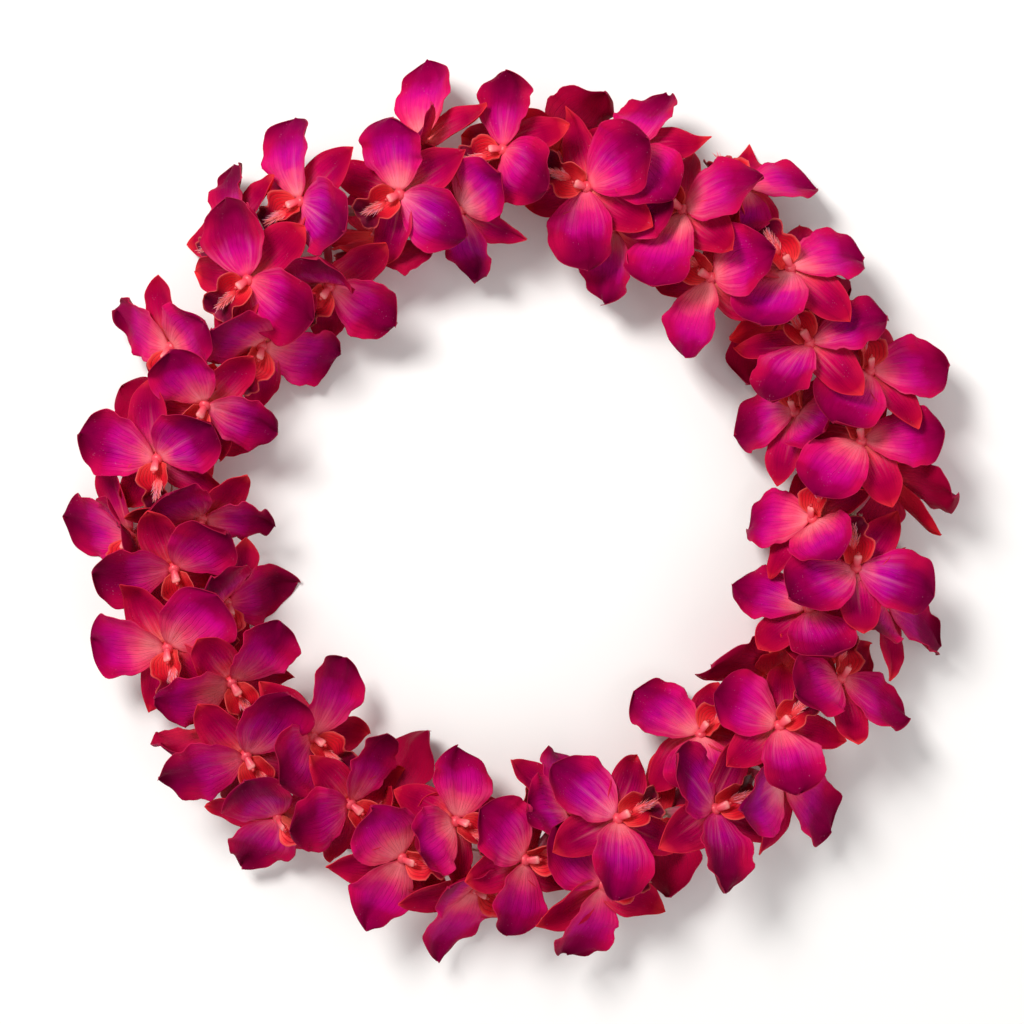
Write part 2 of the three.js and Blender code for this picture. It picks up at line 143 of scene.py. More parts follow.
THROAT = {"raised": 2.2, "ridge": 0.5, "apart": 0.22, "width": 0.09}  # of the lip's sides and its two ridges
TONES = 7919  # keeps the draws for the looks apart from the part's own
FRAY_TONES = 100  # and those for the string's ends apart from the blooms'


def rad(degrees):
    return degrees * math.pi / 180


def stream(seed):
    """Draws from -1 to 1, the same as the part's for one seed."""
    state = seed * 2654435761 % 2**32

    def draw():
        nonlocal state
        state = (state * 1664525 + 1013904223) % 2**32
        return state / 2**31 - 1

    for _ in range(4):
        draw()
    return draw


def unit(v):
    return v / np.maximum(np.linalg.norm(v, axis=-1, keepdims=True), 1e-12)


def about(v, axis, angle):
    """v turned about a unit axis. All three may be arrays."""
    angle = np.asarray(angle)[..., None]
    along = np.sum(v * axis, axis=-1, keepdims=True) * axis
    return v * np.cos(angle) + np.cross(axis, v) * np.sin(angle) + along * (1 - np.cos(angle))


def smooth(x, low, high):
    t = np.clip((x - low) / (high - low), 0, 1)
    return t * t * (3 - 2 * t)


# ---- Where the part has each bloom ----
def place(i):
    """Degrees round the string: 0 is above it, 90 away from the ring's centre."""
    turn = i * GOLDEN % 1
    if turn < DOWN_SHARE:
        return 180 + DOWN_SPREAD * (turn / DOWN_SHARE - 0.5)
    return UP_SPREAD * ((turn - DOWN_SHARE) / (1 - DOWN_SHARE) - 0.5)


def make_bloom(i, turning):
    """One bloom as the part draws it: its axes, where the string goes through it, and its tepals."""
    draw = stream(SEED + i)
    angle = (i * LEI_LENGTH / BLOOMS + VARY["along"] * draw()) / RING_RADIUS
    face_up = abs(place(i)) <= UP_SPREAD / 2
    roll = place(i) + VARY["face"] * draw() + turning[0]
    face_roll = roll * (1 - UPTURN) if face_up else roll
    lean = rad(LEAN + VARY["lean"] * draw() + turning[1])
    spin = rad(VARY["spin"] * draw())
    stalk = STALK + VARY["stalk"] * draw() + SIDE_STALK * math.sin(rad(roll)) ** 2 + turning[2]
    size = 1 + VARY["size"] * draw()

    out = np.array([math.cos(angle), math.sin(angle), 0])
    along = np.array([-math.sin(angle), math.cos(angle), 0])

    def round_string(degrees):
        return out * math.sin(rad(degrees)) + np.array([0, 0, math.cos(rad(degrees))])

    off = round_string(face_roll)
    front = off * math.cos(lean) + along * math.sin(lean)
    dorsal = about(off * math.sin(lean) - along * math.cos(lean), front, spin)
    right = np.cross(dorsal, front)
    rise = round_string(roll) * math.cos(lean) + along * math.sin(lean)
    thread = out * RING_RADIUS + np.array([0, 0, STRING_HEIGHT])
    tepals = [
        {
            **t,
            "azimuth": t["azimuth"] + VARY_TEPAL["azimuth"] * draw(),
            "pitch": t["pitch"] + VARY_TEPAL["pitch"] * draw(),
            "bend": t["bend"] + VARY_TEPAL["bend"] * draw(),
            "length": t["length"] * size * (1 + VARY_TEPAL["length"] * draw()),
            "half_width": t["half_width"] * size,
            "twist": VARY_TEPAL["twist"] * draw(),
            "phase": math.pi * draw(),
        }
        for t in TEPALS
    ]
    return {
        "axes": np.array([right, dorsal, front]), "hub": thread + rise * stalk, "thread": thread,
        "rise": rise, "along": along, "tepals": tepals,
    }


def placed(bloom, points):
    return bloom["hub"] + points @ bloom["axes"]


def hub_point(azimuth, radius, z):
    return np.array([radius * math.cos(rad(azimuth)), radius * math.sin(rad(azimuth)), z])


# ---- A blade, as the part has it ----
def half_width(t, u):
    peak = t["rise"] / (t["rise"] + t["fall"])
    bell = u ** t["rise"] * (1 - u) ** t["fall"]
    top = peak ** t["rise"] * (1 - peak) ** t["fall"]
    return t["root"] * (1 - u) + t["tip"] * u + (t["half_width"] - t["tip"]) * bell / top


def blade_at(t, bending, u, v, w, proud=0.0):
    """The middle of the blade and its normal in the bloom's axes, `proud` further along that normal."""
    lift, sweep, reach = bending
    azimuth, pitch, bend = rad(t["azimuth"] + sweep), rad(t["pitch"] + lift), rad(t["bend"])
    outward = np.array([math.cos(azimuth), math.sin(azimuth), 0])
    forward = np.array([0.0, 0.0, 1.0])
    half = bend * u / 2
    chord = t["length"] * reach * u * np.sinc(half / math.pi)
    root = hub_point(t["face"], HUB_RADIUS * math.cos(math.pi / 6), (t["layer"] - 0.5) * HUB_LAYER)
    middle = (
        root
        + outward * (chord * np.cos(pitch + half))[..., None]
        + forward * (chord * np.sin(pitch + half))[..., None]
    )
    slope = (pitch + bend * u)[..., None]
    normal = forward * np.cos(slope) - outward * np.sin(slope)
    tangent = unit(np.cross(normal, np.cross(outward, forward)))
    across = np.broadcast_to(np.cross(forward, outward), normal.shape)
    twist = rad(t["twist"] * u)
    across, normal = about(across, tangent, twist), about(normal, tangent, twist)
    ripple = t["wave"] * np.sin(7 * u + 1.3 * v + t["phase"]) * v * v * u
    middle = middle + across * (v * w)[..., None]
    middle = middle + normal * (t["cup"] * w * (v * v - 0.4) + ripple + proud)[..., None]
    return middle, normal, tangent, across


def cad_points(bloom, t, bending):
    """The points of the blade's last two rows, front face and back."""
    v, u = np.meshgrid(np.linspace(-1, 1, t["across"] + 1), np.array(t["steps"], float))
    middle, normal, _, _ = blade_at(t, bending, u, v, half_width(t, u))
    middle, normal = placed(bloom, middle), normal @ bloom["axes"]
    low = middle[..., 2] < BLADE / 2
    side = np.sign(np.sum(normal[low][:, 2])) or 1
    middle[low, 2] = BLADE / 2
    normal[low] = (0, 0, side)
    faces = np.concatenate([middle + normal * BLADE / 2, middle - normal * BLADE / 2], axis=1)
    return faces[1:].reshape(-1, 3)


def misfit(points, vertices):
    """How far the points are from the nearest vertices, a few of which may have been merged away."""
    gaps = np.sqrt(np.min(np.sum((points[:, None] - vertices[None]) ** 2, axis=-1), axis=1))
    return float(np.mean(np.sort(gaps)[: max(2, len(gaps) * 2 // 3)]))


def first_fit(tries, points_of, vertices, what):
    """The first of the tries whose points are all among a node's vertices."""
    for tried in tries:
        if misfit(points_of(tried), vertices) < MATCH:
            return tried
    raise RuntimeError(f"{what} isn't where this script puts it")


def read_bloom(i, name):
    """The bloom that a node holds, with the bending of each of its tepals."""
    vertices = np.array([v.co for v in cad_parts[name].data.vertices], float) / MM - RING_CENTRE
    hub = np.array([hub_point(60 * k, HUB_RADIUS, z) for k in range(6) for z in (-HUB_LAYER, 0, HUB_LAYER)])
    turned = (make_bloom(i, turning) for turning in TURNINGS)
    bloom = first_fit(turned, lambda tried: placed(tried, hub), vertices, name)
    bendings = [
        first_fit(
            BENDINGS, lambda tried, t=t: cad_points(bloom, t, tried), vertices, f"a {t['kind']} of {name}",
        )
        for t in bloom["tepals"]
    ]
    return bloom, bendings


# ---- Meshes, put together piece by piece ----
class Shape:
    """Points, quads and triangles, with what the materials read at each point."""

    READ = ("along", "across", "edge", "back", "tone", "mood")

    def __init__(self):
        self.points, self.faces, self.paints, self.count = [], [], [], 0
        self.read = {name: [] for name in self.READ}

    def add(self, points, faces, paint, **values):
        points = points.reshape(-1, 3)
        self.points.append(points)
        self.faces += [tuple(self.count + k for k in face) for face in faces]
        self.paints += [paint] * len(faces)
        for name in self.READ:
            value = np.asarray(values.get(name, 0.0), float)
            self.read[name].append(np.broadcast_to(value.reshape(-1) if value.ndim else value, len(points)))
        self.count += len(points)

    def mesh(self, name, paints):
        mesh = bpy.data.meshes.new(name)
        mesh.from_pydata(((np.concatenate(self.points) + RING_CENTRE) * MM).tolist(), [], self.faces)
        for material in paints:
            mesh.materials.append(material)
        mesh.polygons.foreach_set("material_index", self.paints)
        mesh.polygons.foreach_set("use_smooth", [True] * len(self.faces))
        for key, values in self.read.items():
            attribute = mesh.attributes.new(key, "FLOAT", "POINT")
            attribute.data.foreach_set("value", np.concatenate(values).astype(np.float32))
        mesh.update()
        return mesh


def grid_faces(rows, columns, start=0, flip=False):
    faces = []
    for i in range(rows):
        for j in range(columns):
            a = start + i * (columns + 1) + j
            face = (a, a + columns + 1, a + columns + 2, a + 1)
            faces.append(face[::-1] if flip else face)
    return faces


def shell_faces(rows, columns):
    """A front grid, a rear grid after it, and the strips that join them all round."""
    width = columns + 1
    rear = (rows + 1) * width
    faces = grid_faces(rows, columns) + grid_faces(rows, columns, rear, flip=True)
    for i in range(rows):
        a, b = i * width, (i + 1) * width
        faces.append((a, a + rear, b + rear, b))
        a, b = a + columns, b + columns
        faces.append((a, b, b + rear, a + rear))
    last = rows * width
    for j in range(columns):
        faces.append((last + j, last + j + rear, last + j + 1 + rear, last + j + 1))
        faces.append((j + rear, j, j + 1, j + 1 + rear))
    return faces


SHELLS = {kind: shell_faces(*cells) for kind, cells in GRID.items()}


def tube_faces(rings, sides):
    faces = []
    for i in range(rings - 1):
        for k in range(sides):
            a, b = i * sides + k, i * sides + (k + 1) % sides
            faces.append((a, b, b + sides, a + sides))
    last = (rings - 1) * sides
    faces.append(tuple(range(sides))[::-1])
    faces.append(tuple(last + k for k in range(sides)))
    return faces


ASLANT = (0.31, 0.52, 0.79)  # no tube starts in this direction


def tube(points, radii, sides):
    """Points of a tube round a line of points, ring by ring, and its faces, closed at both ends."""
    points, radii = np.asarray(points, float), np.asarray(radii, float)
    ahead = unit(np.gradient(points, axis=0))
    side = unit(np.cross(ahead[0], ASLANT))
    rings = []
    for p, r, a in zip(points, radii, ahead):
        side = unit(side - a * np.dot(side, a))
        other = np.cross(a, side)
        turns = np.arange(sides) * 2 * math.pi / sides
        rings.append(p + r * (np.cos(turns)[:, None] * side + np.sin(turns)[:, None] * other))
    return np.concatenate(rings), tube_faces(len(points), sides)


def rounded(points, radii, steps=3):
    """The same line with its last end rounded off by a few narrowing rings."""
    ahead = unit(points[-1] - points[-2])
    more, r = [], radii[-1]
    for k in range(1, steps + 1):
        turn = math.pi / 2 * k / steps
        more.append((points[-1] + ahead * r * math.sin(turn), max(r * math.cos(turn), 0.03)))
    return np.array([*points, *(p for p, _ in more)]), np.array([*radii, *(r for _, r in more)])


# ---- One bloom ----
PETAL_PAINT, SEPAL_PAINT, LIP_PAINT, PLUME_PAINT, COLUMN_PAINT, ANTHER_PAINT, STALK_PAINT = range(7)
PAINT_OF = {"petal": PETAL_PAINT, "sepal": SEPAL_PAINT, "lip": LIP_PAINT}


def outline(t, u, v, look):
    """Half the blade's width, with its tip rounded shut, and the lip drawn in behind its middle lobe."""
    width = half_width({**t, "fall": t["fall"] + look["pointed"]}, u)
    width = FULLER * width * np.sqrt(1 - u**ROUNDED)
    wander = np.sin(9 * u + look["phase"] * np.sign(v)) + 0.45 * np.sin(15 * u - 2 * look["phase"])
    width = width * (1 + look["skew"] * v + UNEVEN[t["kind"]] * wander * smooth(u, 0.1, 0.4))
    if t["kind"] == "lip":
        width = width * (1 - WAIST["depth"] * np.exp(-(((u - WAIST["at"]) / WAIST["length"]) ** 2)))
        width = width * (1 - 0.1 * smooth(u, 0.86, 1))
    return np.maximum(width, NARROWEST)


def frills(kind, u, v, look):
    """Ripples that grow towards the edges: long ones, and short ones half as high."""
    waves, phase = math.pi * look["frills"], look["phase"]
    long = np.sin(2 * waves * u + phase + 2 * v) * np.abs(v) ** 3
    short = 0.5 * np.sin(3.7 * waves * u - 2 * phase) * v**4
    return FRILL[kind] * (long + short) * smooth(u, 0.05, 0.4)


def folds(kind, u, v, look):
    """Soft folds along the blade and, further out, slanting ones."""
    lengthwise = np.cos(5.5 * v + look["phase"]) * smooth(u, 0.2, 0.55) * (1 - 0.5 * u)
    slanting = 0.6 * np.sin(9 * u + 4 * v + look["phase"]) * smooth(u, 0.3, 0.6)
    return FOLDS[kind] * (lengthwise + slanting)


def throat(u, v):
    """The lip's sides, raised round the column, and the two ridges between them."""
    sides = np.abs(v) ** 2.5 * smooth(u, 0.04, 0.2) * (1 - smooth(u, 0.42, 0.6))
    ridges = np.exp(-(((np.abs(v) - THROAT["apart"]) / THROAT["width"]) ** 2)) * (1 - smooth(u, 0.55, 0.8))
    return THROAT["raised"] * sides + THROAT["ridge"] * ridges


def fine_blade(t, bending, u, v, look):
    """The middle of the finer blade, which stands proud of the part's by its folds, frills, rib and curl."""
    w = outline(t, u, v, look)
    kind = t["kind"]
    rib = -MIDRIB[kind] * np.exp(-((v / MIDRIB_WIDTH) ** 2)) * smooth(u, 0, 0.15) * (1 - u) ** 0.5
    roll = look["roll"] * w * v**4 * smooth(u, 0.1, 0.5)
    crease = look["crease"] * w * (np.sqrt(v * v + 0.02) - STEADY[kind])
    crease = crease * smooth(u, 0.15, 0.45) * (1 - 0.4 * u)
    hook = look["hook"] * smooth(u, 0.72, 1.08) ** 1.5
    proud = frills(kind, u, v, look) + folds(kind, u, v, look) + rib + roll + crease + hook
    if kind == "lip":
        proud = proud + throat(u, v)
    return blade_at(t, bending, u, v, w, proud), w


def add_blade(shape, bloom, t, bending, look):
    rows, columns = GRID[t["kind"]]
    s = np.linspace(0, 1, rows + 1)
    v, u = np.meshgrid(np.sin(np.linspace(-1, 1, columns + 1) * math.pi / 2), 1 - (1 - s) ** TIPWARD)
    (middle, _, _, _), w = fine_blade(t, bending, u, v, look)
    middle = placed(bloom, middle)
    thickness = THIN + (THICK[t["kind"]] - THIN) * (1 - v * v) * (1 - u) ** 0.7
    above = middle[..., 2] - thickness / 2
    middle[..., 2] = thickness / 2 + (above + np.sqrt(above**2 + SOFT**2)) / 2
    normal = np.cross(np.gradient(middle, axis=0), np.gradient(middle, axis=1))
    normal[-1] = normal[-2]
    normal = unit(normal) * thickness[..., None] / 2
    points = np.concatenate([(middle + normal).reshape(-1, 3), (middle - normal).reshape(-1, 3)])
    points[:, 2] = np.maximum(points[:, 2], LOWEST["blade"])
    edge = np.minimum(w * (1 - np.abs(v)), t["length"] * bending[2] * (1 - u))
    back = np.concatenate([np.zeros(u.size), np.ones(u.size)])
    shape.add(
        points, SHELLS[t["kind"]], PAINT_OF[t["kind"]], along=np.tile(u.reshape(-1), 2),
        across=np.tile(v.reshape(-1), 2), edge=np.tile(edge.reshape(-1), 2), back=back,
        tone=look["tone"], mood=look["mood"],
    )


PLUME = {"from": 0.27, "over": 0.3, "length": 8.5, "lean": 0.42, "sag": 0.3, "thick": 0.75}
PLUME_GRID = (8, 8)  # cells along and round it
PLUME_WIDTHS = ((0, 0.25, 0.6, 1), (0.9, 1.7, 1.15, 0.15))  # half of it, along the plume
BARBS = 60
BARB = {"first": 0.12, "length": (1.6, 3.9), "droop": 0.2, "radius": 0.3, "sides": 3, "steps": 3}


def add_plume(shape, bloom, t, bending, look, draw):
    """The plume on the lip: a keel that lies forward over it, with fine barbs at its sides, top and end."""
    (base, normal, tangent, across), _ = fine_blade(t, bending, np.array(PLUME["from"]), np.array(0.0), look)
    ahead = unit(tangent + PLUME["lean"] * normal + 0.1 * draw() * across)
    drop = unit(tangent - normal)
    length = PLUME["length"] * (1 + 0.12 * draw())

    def keel(s):
        return base + PLUME["over"] * normal + length * (s * ahead + PLUME["sag"] * s * s * drop)

    cells, sides = PLUME_GRID
    steps = np.linspace(0, 1, cells + 1)
    turns = np.arange(sides) * 2 * math.pi / sides
    rings = []
    for s in steps:
        half = np.interp(s, *PLUME_WIDTHS)
        thick = PLUME["thick"] * (1 - 0.8 * s)
        aside, up = half * np.cos(turns)[:, None] * across, thick * np.sin(turns)[:, None] * normal
        rings.append(keel(s) + aside + up)
    points, faces = placed(bloom, np.concatenate(rings)), tube_faces(len(steps), sides)
    points[:, 2] = np.maximum(points[:, 2], LOWEST["plume"])
    along = np.repeat(0.6 * steps, sides)
    shape.add(points, faces, PLUME_PAINT, along=along, tone=0.3, mood=look["mood"])

    for k in range(BARBS):
        s = BARB["first"] + (1 - BARB["first"]) * (k + 0.5) / BARBS
        aside = (1, -1, 0.5 * draw())[k % 3]
        half = np.interp(s, *PLUME_WIDTHS)
        start = keel(s) + 0.75 * half * aside * across + 0.5 * (1 - abs(aside)) * PLUME["thick"] * normal
        fan = aside * (0.6 - 0.25 * s) * (1 + 0.4 * draw())
        way = unit(ahead + fan * across + (0.18 + 0.25 * draw()) * normal)
        reach = np.interp(draw(), (-1, 1), BARB["length"])
        gone = np.linspace(0, 1, BARB["steps"] + 1)
        line = start + reach * (gone[:, None] * way + BARB["droop"] * gone[:, None] ** 2 * drop)
        radii = BARB["radius"] * (1 - 0.94 * gone**1.3)
        points, faces = tube(placed(bloom, line), radii, BARB["sides"])
        points[:, 2] = np.maximum(points[:, 2], LOWEST["plume"])
        values = np.repeat(0.35 + 0.65 * gone, BARB["sides"])
        shape.add(points, faces, PLUME_PAINT, along=values, tone=0.5 + 0.5 * draw(), mood=look["mood"])


COLUMN = {"foot": 0.8, "rise": 6.6, "reach": 3.0}  # heights over the hub's middle, and reach over the lip
COLUMN_GRID = (14, 16)  # cells along and round it
HOOD = {
    "along": (0, 0.3, 0.7, 0.88, 0.96, 1),
    "half_width": (1.6, 1.4, 1.85, 1.9, 1.35, 0.3),
    "depth": (1.6, 1.2, 1.15, 1.0, 0.7, 0.15),
}
# Radius and height of each ring of the hub, radius and place along the anther, and radii down the stalk.
HUB = ((1.0, -2.1), (2.0, -1.9), (2.5, -1.1), (2.6, 0.2), (2.45, 1.2), (1.9, 2.1), (1.0, 2.5))
ANTHER = ((0.1, -0.9), (0.65, -0.6), (0.9, 0), (0.65, 0.6), (0.1, 0.9))
STALK_RADII = (
    1.9, 1.75, 1.7, 1.72, 1.85, 2.05, 2.3, 2.45, SWELL["radius"], 2.4, 2.2, STALK_END["radius"],
)
STALK_TOP = -1.2  # in the hub
ROUND = 12  # sides of the hub and the stalk
ANTHER_SIDES = 10


def column_points():
    """The column: a hood that arches over the throat, hollow below, with two corners short of its end."""
    cells, sides = COLUMN_GRID
    s = 1 - (1 - np.linspace(0, 1, cells + 1)) ** 1.5
    height = COLUMN["foot"] + (COLUMN["rise"] - COLUMN["foot"]) * s
    line = np.stack([0 * s, -COLUMN["reach"] * s**1.7, height], axis=1)
    half = np.interp(s, HOOD["along"], HOOD["half_width"])
    deep = np.interp(s, HOOD["along"], HOOD["depth"])
    hollow = smooth(s, 0.3, 0.7)
    ahead = unit(np.gradient(line, axis=0))
    over = np.cross(ahead, [1.0, 0, 0])
    turns = np.arange(sides) * 2 * math.pi / sides
    rings, under = [], np.sin(turns) < -0.01
    for p, a, d, h, n in zip(line, half, deep, hollow, over):
        lift = np.where(under, -np.sin(turns) * (1.25 * h - 0.85), np.sin(turns))
        rings.append(p + (a * np.cos(turns))[:, None] * [1.0, 0, 0] + (d * lift)[:, None] * n)
    below = np.outer(hollow, np.where(under, -np.sin(turns), 0.0)).reshape(-1)
    return np.concatenate(rings), tube_faces(len(s), sides), np.repeat(s, sides), below


def add_hub(shape, bloom, look):
    hub = np.array(HUB)
    line = np.stack([np.zeros(len(hub)), np.zeros(len(hub)), hub[:, 1]], axis=1)
    points, faces = tube(placed(bloom, line), hub[:, 0], ROUND)
    shape.add(points, faces, COLUMN_PAINT, along=0.3, tone=look["tone"])


def add_column(shape, bloom, look):
    """The column, with its anther under the end."""
    points, faces, along, hollow = column_points()
    shape.add(placed(bloom, points), faces, COLUMN_PAINT, along=along, back=hollow, tone=look["tone"])
    radii, gone = np.array(ANTHER).T
    end = np.array([0, -COLUMN["reach"] - 0.2, COLUMN["rise"] + 0.3])
    line = end + np.outer(gone, unit(np.array([0, -0.8, 0.6])))
    points, faces = tube(placed(bloom, line), radii, ANTHER_SIDES)
    along = np.repeat(np.linspace(0, 1, len(ANTHER)), ANTHER_SIDES)
    shape.add(points, faces, ANTHER_PAINT, along=along, tone=look["tone"])


def add_stalk(shape, bloom, look):
    """The stalk, in a curve from the hub to its swollen end on the string."""
    top = placed(bloom, np.array([0, 0, STALK_TOP]))
    swell = bloom["thread"] + bloom["rise"] * SWELL["beyond"]
    reach = np.linalg.norm(top - swell)
    s = np.linspace(0, 1, 8)[:, None]
    leave, arrive = -bloom["axes"][2] * reach * 0.6, -bloom["rise"] * reach * 0.6
    curve = (
        top * (2 * s**3 - 3 * s**2 + 1) + leave * (s**3 - 2 * s**2 + s)
        + swell * (3 * s**2 - 2 * s**3) + arrive * (s**3 - s**2)
    )
    past = np.array([1.6, 0, -1.6, STALK_END["beyond"] + 0.5])[:, None]
    line = np.concatenate([curve, bloom["thread"] + bloom["rise"] * past])
    line, radii = rounded(line, STALK_RADII, 2)
    points, faces = tube(line, radii, ROUND)
    along = np.repeat(np.linspace(0, 1, len(line)), ROUND)
    angle = np.tile(np.arange(ROUND) / ROUND, len(line))
    shape.add(points, faces, STALK_PAINT, along=along, across=angle, tone=look["tone"], mood=look["mood"])


def tepal_look(kind, draw, own_tone, own_mood):
    """What sets one tepal apart from the others of its kind. Some tips curl further and are drawn out."""
    look = {
        "frills": np.interp(draw(), (-1, 1), FRILLS[kind]),
        "phase": math.pi * draw(),
        "roll": EDGE_ROLL[kind] * draw(),
        "hook": np.interp(draw(), (-1, 1), HOOK[kind]),
        "crease": np.interp(draw(), (-1, 1), CREASE[kind]),
        "pointed": np.interp(draw(), (-1, 1), POINTED[kind]),
        "skew": SKEW[kind] * draw(),
        "tone": 0.6 * own_tone + 0.4 * (0.5 + 0.5 * draw()),
        "mood": 0.6 * own_mood + 0.4 * (0.5 + 0.5 * draw()),
    }
    if kind != "lip":
        curl = CURLED["by"] * smooth(abs(look["phase"]) / math.pi, *CURLED["from"])
        look["hook"] *= 1 + curl
        look["pointed"] += CURLED["pointed"] * curl
    return look


def add_bloom(i, name, paints):
    bloom, bendings = read_bloom(i, name)
    draw = stream(TONES + i)
    own_tone, own_mood = 0.5 + 0.5 * draw(), 0.5 + 0.5 * draw()
    shape = Shape()
    for t, bending in zip(bloom["tepals"], bendings):
        look = tepal_look(t["kind"], draw, own_tone, own_mood)
        add_blade(shape, bloom, t, bending, look)
        if t["kind"] == "lip":
            add_plume(shape, bloom, t, bending, look, draw)
    for add in (add_hub, add_column, add_stalk):
        add(shape, bloom, look)
    obj = bpy.data.objects.new(f"{name}_fresh", shape.mesh(f"{name}_fresh", paints))
    bpy.context.scene.collection.objects.link(obj)
    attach(obj, "root")
    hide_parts(name)


# ---- Materials ----
def colour(text):
    """Linear red, green and blue from a hex colour as it looks on a screen."""
    levels = [int(text[k : k + 2], 16) / 255 for k in (0, 2, 4)]
    return tuple(x / 12.92 if x <= 0.04045 else ((x + 0.055) / 1.055) ** 2.4 for x in levels) + (1.0,)


class Paint:
    """A procedural material, put together node by node."""

    def __init__(self, name, roughness, **direct):
        self.material = bpy.data.materials.new(name)
        self.material.use_nodes = True
        self.nodes, self.links = self.material.node_tree.nodes, self.material.node_tree.links
        self.shader = self.nodes["Principled BSDF"]
        self.shader.inputs["Roughness"].default_value = roughness
        for socket, value in direct.items():
            self.shader.inputs[socket.replace("_", " ")].default_value = value

    def feed(self, socket, value):
        if isinstance(value, bpy.types.NodeSocket):
            self.links.new(value, socket)
        else:
            socket.default_value = value

    def read(self, name):
        node = self.nodes.new("ShaderNodeAttribute")
        node.attribute_name = name
        return node.outputs["Fac"]

    def maths(self, operation, *values):
        node = self.nodes.new("ShaderNodeMath")
        node.operation = operation
        for socket, value in zip(node.inputs, values):
            self.feed(socket, value)
        return node.outputs[0]

    def add(self, *values):
        total = values[0]
        for value in values[1:]:
            total = self.maths("ADD", total, value)
        return total

    def times(self, *values):
        total = values[0]
        for value in values[1:]:
            total = self.maths("MULTIPLY", total, value)
        return total

    def step(self, value, low, high, start=0.0, end=1.0):
        """From start to end, smoothly, as value goes from low to high."""
        node = self.nodes.new("ShaderNodeMapRange")
        node.interpolation_type = "SMOOTHSTEP"
        for socket, x in zip(node.inputs, (value, low, high, start, end)):
            self.feed(socket, x)
        return node.outputs[0]

    def noise(self, size, detail=2.0, rough=0.5, stretch=None):
        """Noise with features about `size` millimetres across."""
        node = self.nodes.new("ShaderNodeTexNoise")
        node.inputs["Scale"].default_value = 1 / (size * MM)
        node.inputs["Detail"].default_value = detail
        node.inputs["Roughness"].default_value = rough
        where = self.nodes.new("ShaderNodeTexCoord").outputs["Object"] if stretch is None else stretch
        self.links.new(where, node.inputs["Vector"])
        return node.outputs["Fac"]

    def vector(self, x, y, z):
        node = self.nodes.new("ShaderNodeCombineXYZ")
        for socket, value in zip(node.inputs, (x, y, z)):
            self.feed(socket, value)
        return node.outputs[0]

    def ramp(self, value, stops):
        """The colour at that value, from stops of a position and a colour."""
        node = self.nodes.new("ShaderNodeValToRGB")
        elements = node.color_ramp.elements
        while len(elements) < len(stops):
            elements.new(0.5)
        for element, (at, text) in zip(elements, stops):
            element.position, element.color = at, colour(text)
        self.feed(node.inputs["Fac"], value)
        return node.outputs["Color"]

    def mix(self, share, a, b):
        """Colour a, with that share of colour b."""
        node = self.nodes.new("ShaderNodeMix")
        node.data_type = "RGBA"
        self.feed(node.inputs[0], share)
        self.feed(node.inputs[6], colour(a) if isinstance(a, str) else a)
        self.feed(node.inputs[7], colour(b) if isinstance(b, str) else b)
        return node.outputs[2]

    def finish(self, base, bump=None, height=0.2, roughness=None):
        """Sets the colour, a bump of that height in millimetres and the roughness."""
        self.feed(self.shader.inputs["Base Color"], base)
        if roughness is not None:
            self.feed(self.shader.inputs["Roughness"], roughness)
        if bump is not None:
            node = self.nodes.new("ShaderNodeBump")
            node.inputs["Distance"].default_value = height * MM
            self.feed(node.inputs["Height"], bump)
            self.links.new(node.outputs["Normal"], self.shader.inputs["Normal"])
        return self.material


def veins(p, along, across, count, waver):
    """Thin lines that fan out along a blade, 1 on a vein."""
    bend = p.times(p.add(p.noise(7), -0.5), waver)
    fan = p.add(p.times(across, count), bend)
    line = p.maths("ABSOLUTE", p.maths("SINE", p.times(fan, math.pi)))
    return p.times(p.step(line, 0.0, 0.42, 1.0, 0.0), p.step(along, 0.97, 0.45), p.step(along, 0.0, 0.12))


